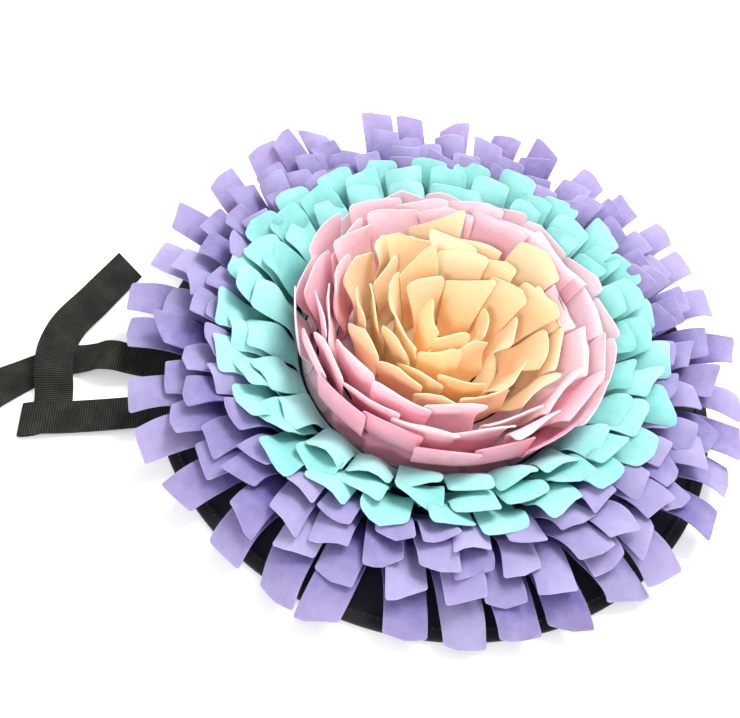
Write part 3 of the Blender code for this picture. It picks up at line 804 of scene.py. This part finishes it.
def webbing_grid(stations, step=1.5):
    """The middle surface of a tie through its stations, smooth where the stations turn."""
    stations = np.array(stations, float)
    marks = along(stations[:, :3])
    at = np.unique(np.concatenate([np.arange(0, marks[-1], step), marks]))
    x, y, z, across, raised = smooth_through(marks, stations, at).T
    across, raised = np.radians(across), np.radians(raised)
    level = np.cos(raised)
    left = np.stack([np.cos(across) * level, np.sin(across) * level, np.sin(raised)], axis=1)
    columns = np.linspace(-1, 1, 9) * WEBBING_WIDTH / 2
    middle = np.stack([x, y, z], axis=1)
    points = middle[:, None] + columns[None, :, None] * left[:, None]
    flat = np.stack(np.meshgrid(columns, along(middle)), axis=-1)
    return points, flat, MIDDLE_SHADE


# %% [markdown]
# ## Polyester webbing
#
# The webbing is woven with ribs across it, 1.1 mm apart and drawn 1.6 mm apart, and yarns of 0.8 mm along
# it, drawn at 1.2 mm. It is a dark olive that has gone a little grey where the crowns of the ribs are worn,
# and it hardly shines, because its yarns run in two directions and scatter the light.

# %% The webbing material
RIB, YARN, WORN_PATCH = 1.6, 1.2, 16.0  # in millimetres


def ribbed_webbing():
    webbing, shader = new_material(
        "olive_polyester_webbing",
        {"Metallic": 0.0, "IOR": 1.5, "Specular IOR Level": 0.15,
         "Sheen Weight": 0.03, "Sheen Roughness": 0.4},
    )
    cloth = {"Vector": add(webbing, "UVMap", {"uv_map": "cloth"}).outputs["UV"]}
    raised = {"Detail": 1.0, "Detail Scale": 3.0}
    rib_waves = {"bands_direction": "Y", "Scale": math.pi / (10 * RIB * MM), "Distortion": 0.6}
    yarn_waves = {"bands_direction": "X", "Scale": math.pi / (10 * YARN * MM), "Distortion": 0.5}
    ribs = add(webbing, "TexWave", rib_waves | raised, cloth).outputs["Fac"]
    yarns = add(webbing, "TexWave", yarn_waves | raised, cloth).outputs["Fac"]
    woven = add(webbing, "Mix", {"data_type": "FLOAT", "Factor": 0.35}, {2: ribs, 3: yarns}).outputs[0]
    worn = add(webbing, "TexNoise", {"Scale": 1 / (WORN_PATCH * MM), "Detail": 4.0}, cloth).outputs["Fac"]
    tone = add(webbing, "Mix", {"data_type": "FLOAT", "Factor": 0.5}, {2: woven, 3: worn}).outputs[0]
    surface(webbing, shader, tone, ((0.25, "#0A0B09"), (0.5, "#1F231D"), (0.8, "#484D43")),
            worn, (0.6, 0.85), woven, strength=0.6, depth=0.3)
    return webbing


WEBBING = ribbed_webbing()
print("webbing:", WEBBING.name)

# %% [markdown]
# ## Dressing the ties
#
# Webbing has thick woven edges, so its sheet is thicker than the felt's and its edge is bevelled a little
# more.

# %% Dressing the ties
for name, stations in TIES.items():
    points, flat, shade = webbing_grid(stations)
    tie = sheet_object(name + "_webbing", [(points, flat, shade)], WEBBING, WEBBING_THICKNESS, 0.35)
    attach(tie, "root")
    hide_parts(name)

# %% [markdown]
# ## Stitches
#
# A line of lockstitch holds the binding down. Each stitch is a short thread that sinks into the tape at both
# ends. They could be drawn as bump, but a raised thread catches the light at the rim. They are all one small
# mesh, because they are one run of thread.

# %% Stitches
STITCH, STITCH_PITCH, THREAD_RADIUS = 3.0, 4.2, 0.3
ROUND_THREAD = 6  # points round the thread
ALONG_STITCH = (-0.5, -0.3, 0.0, 0.3, 0.5)  # rings of points, as shares of its length
STITCH_SUNK = 0.02  # how far the middle of the thread lies below the tape's top


def stitch_points(centre, line, up):
    """A low spindle along a line, in rings of points that are small at both ends."""
    side = np.cross(up, line)
    around = np.arange(ROUND_THREAD) * 2 * math.pi / ROUND_THREAD
    circle = np.cos(around)[:, None] * side + np.sin(around)[:, None] * up
    rings = []
    for place in ALONG_STITCH:
        size = THREAD_RADIUS * math.sqrt(max(1 - (2 * place) ** 2, 0.04))
        rings.append(centre + place * STITCH * line + size * circle)
    return np.concatenate(rings)


def stitch_object(name, seams, material):
    """One mesh of stitches, from (centre, direction, up) of each."""
    points, faces = [], []
    for centre, line, up in seams:
        first = ROUND_THREAD * len(ALONG_STITCH) * len(points)
        points.append(stitch_points(centre, line, up))
        for ring in range(len(ALONG_STITCH) - 1):
            for k in range(ROUND_THREAD):
                a, b = first + ROUND_THREAD * ring + k, first + ROUND_THREAD * ring + (k + 1) % ROUND_THREAD
                faces.append((a, b, b + ROUND_THREAD, a + ROUND_THREAD))
        last = first + ROUND_THREAD * (len(ALONG_STITCH) - 1)
        faces.append(tuple(range(first + ROUND_THREAD - 1, first - 1, -1)))
        faces.append(tuple(range(last, last + ROUND_THREAD)))
    mesh = bpy.data.meshes.new(name)
    mesh.from_pydata((np.concatenate(points) * MM).tolist(), [], faces)
    mesh.shade_smooth()
    mesh.materials.append(material)
    return in_the_scene(name, mesh)


# %% [markdown]
# ## Sewing thread
#
# The thread is twisted from black polyester filament, which shines more than the woven cloth does. The twist
# of 0.5 mm shows as lighter and darker places along it.

# %% The thread material
TWIST = 0.5


def sewing_thread():
    twisted = {"Metallic": 0.0, "IOR": 1.5, "Sheen Weight": 0.2}
    thread, shader = new_material("black_polyester_thread", twisted)
    place = {"Vector": add(thread, "TexCoord", {}).outputs["Object"]}
    ply = add(thread, "TexNoise", {"Scale": 1 / (TWIST * MM), "Detail": 2.0}, place).outputs["Fac"]
    surface(thread, shader, ply, ((0.3, "#17141F"), (0.7, "#3A3546")), ply, (0.5, 0.7))
    return thread


# %% The seam in the binding
up = np.array([0.0, 0.0, 1.0])
stitch_count = int(2 * math.pi * SEAM_RADIUS / STITCH_PITCH)
rim_seam = []
for turn in np.arange(stitch_count) * STITCH_PITCH / SEAM_RADIUS:
    outward = np.array([math.cos(turn), math.sin(turn), 0.0])
    onward = np.array([-outward[1], outward[0], 0.0])
    rim_seam.append((SEAM_RADIUS * outward + (LAP_TOP - STITCH_SUNK) * up, onward, up))
rim_stitches = stitch_object("rim_stitches", rim_seam, sewing_thread())
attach(rim_stitches, "root")
print(len(rim_seam), "stitches in the rim")

# %% [markdown]
# ## The floor
#
# The mat lies on a plain white board. Matt lacquer hides the brush marks and leaves only a soft light patch.
# The board glows a little of itself, like a lit table in a studio, so that the shadows on it stay faint. Its
# grain is a very slight change of white over about 30 cm.

# %% Floor
BOARD_GRAIN = 1 / 3  # in metres
bpy.ops.mesh.primitive_plane_add(size=8, location=(0, 0, -0.0003))
floor = bpy.context.object
floor.name = "table_top"
lacquer, floor_shader = new_material(
    "white_lacquered_board",
    {"Roughness": 0.9, "Specular IOR Level": 0.2, "Emission Color": (1, 1, 1, 1), "Emission Strength": 0.3},
)
board = {"Vector": add(lacquer, "TexCoord", {}).outputs["Object"]}
grain = add(lacquer, "TexNoise", {"Scale": 1 / BOARD_GRAIN, "Detail": 2.0}, board)
surface(lacquer, floor_shader, grain.outputs["Fac"], ((0.2, "#FBFBFB"), (0.8, "#FFFFFF")))
floor.data.materials.append(lacquer)

# %% [markdown]
# ## Light
#
# A large soft box stands high behind the mat and to its right, so the tips are bright and the front of the
# cup is in shade. A white world fills the shadows, and a low lamp at the front keeps the wall of the cup from
# going grey. A spot with a narrow snout brings out the cream petals alone. One function hangs all three.

# %% Light
def hang_lamp(name, kind, place, aim, power, settings):
    """A lamp at one place, in metres, that points at another."""
    lamp = bpy.data.lights.new(name, kind)
    lamp.energy = power
    for setting, value in settings.items():
        setattr(lamp, setting, value)
    holder = in_the_scene(name, lamp)
    holder.location = place
    holder.rotation_euler = (Vector(aim) - Vector(place)).to_track_quat("-Z", "Y").to_euler()


SNOUT = {"spot_size": math.radians(13), "spot_blend": 0.7, "shadow_soft_size": 0.12}
hang_lamp("large_soft_box", "AREA", (0.4, 0.8, 1.35), (0, 0, 0), 25, {"shape": "DISK", "size": 0.8})
hang_lamp("low_front_fill", "AREA", (-0.2, -1.3, 0.3), (0, 0, 0.04), 4, {"shape": "DISK", "size": 0.8})
hang_lamp("snooted_cup_light", "SPOT", (-0.25, -0.95, 0.8), (0, 0, 0.04), 38, SNOUT)
world = bpy.data.worlds.new("white_room")
bpy.context.scene.world = world
world.use_nodes = True
world.node_tree.nodes["Background"].inputs["Color"].default_value = (1, 1, 1, 1)
world.node_tree.nodes["Background"].inputs["Strength"].default_value = 0.74
bpy.context.scene.view_settings.view_transform = "Standard"
print("lamps:", ", ".join(light.name for light in bpy.data.lights))

# %% [markdown]
# ## Camera
#
# The camera looks down at about 52 degrees from close by, which makes the front of the mat look larger than
# the back. It is rolled a little, so the mat seems to lean. The values come from fitting the mat's round rim
# and its rings to their outlines in the picture.

# %% Camera
CAMERA_DISTANCE, CAMERA_AZIMUTH, CAMERA_ELEVATION, CAMERA_ROLL = 0.5439, -2.45, 51.91, 10.0
LOOK_AT = Vector((-0.0462, -0.0383, 0.03))
SENSOR_WIDTH, FOCAL_LENGTH = 36, 34.05

azimuth, elevation = math.radians(CAMERA_AZIMUTH), math.radians(CAMERA_ELEVATION)
place = CAMERA_DISTANCE * Vector(
    (math.sin(azimuth) * math.cos(elevation), -math.cos(azimuth) * math.cos(elevation), math.sin(elevation))
)
back = (place - LOOK_AT).normalized()
right = Vector((0, 0, 1)).cross(back).normalized()
above = back.cross(right)
roll = math.radians(CAMERA_ROLL)
rolled_right = right * math.cos(roll) + above * math.sin(roll)
rolled_up = above * math.cos(roll) - right * math.sin(roll)
turned = Matrix((rolled_right, rolled_up, back)).transposed().to_4x4()
camera = in_the_scene("camera", bpy.data.cameras.new("camera"))
camera.matrix_world = Matrix.Translation(place) @ turned
camera.data.sensor_width = SENSOR_WIDTH
camera.data.lens = FOCAL_LENGTH
camera.data.clip_start = 0.01
bpy.context.scene.camera = camera
print("camera at", [round(value, 3) for value in place], "m")

# %% [markdown]
# ## The end
#
# The scene is brought up to date. Each piece lies where its solid does.

# %% The end
bpy.context.view_layer.update()
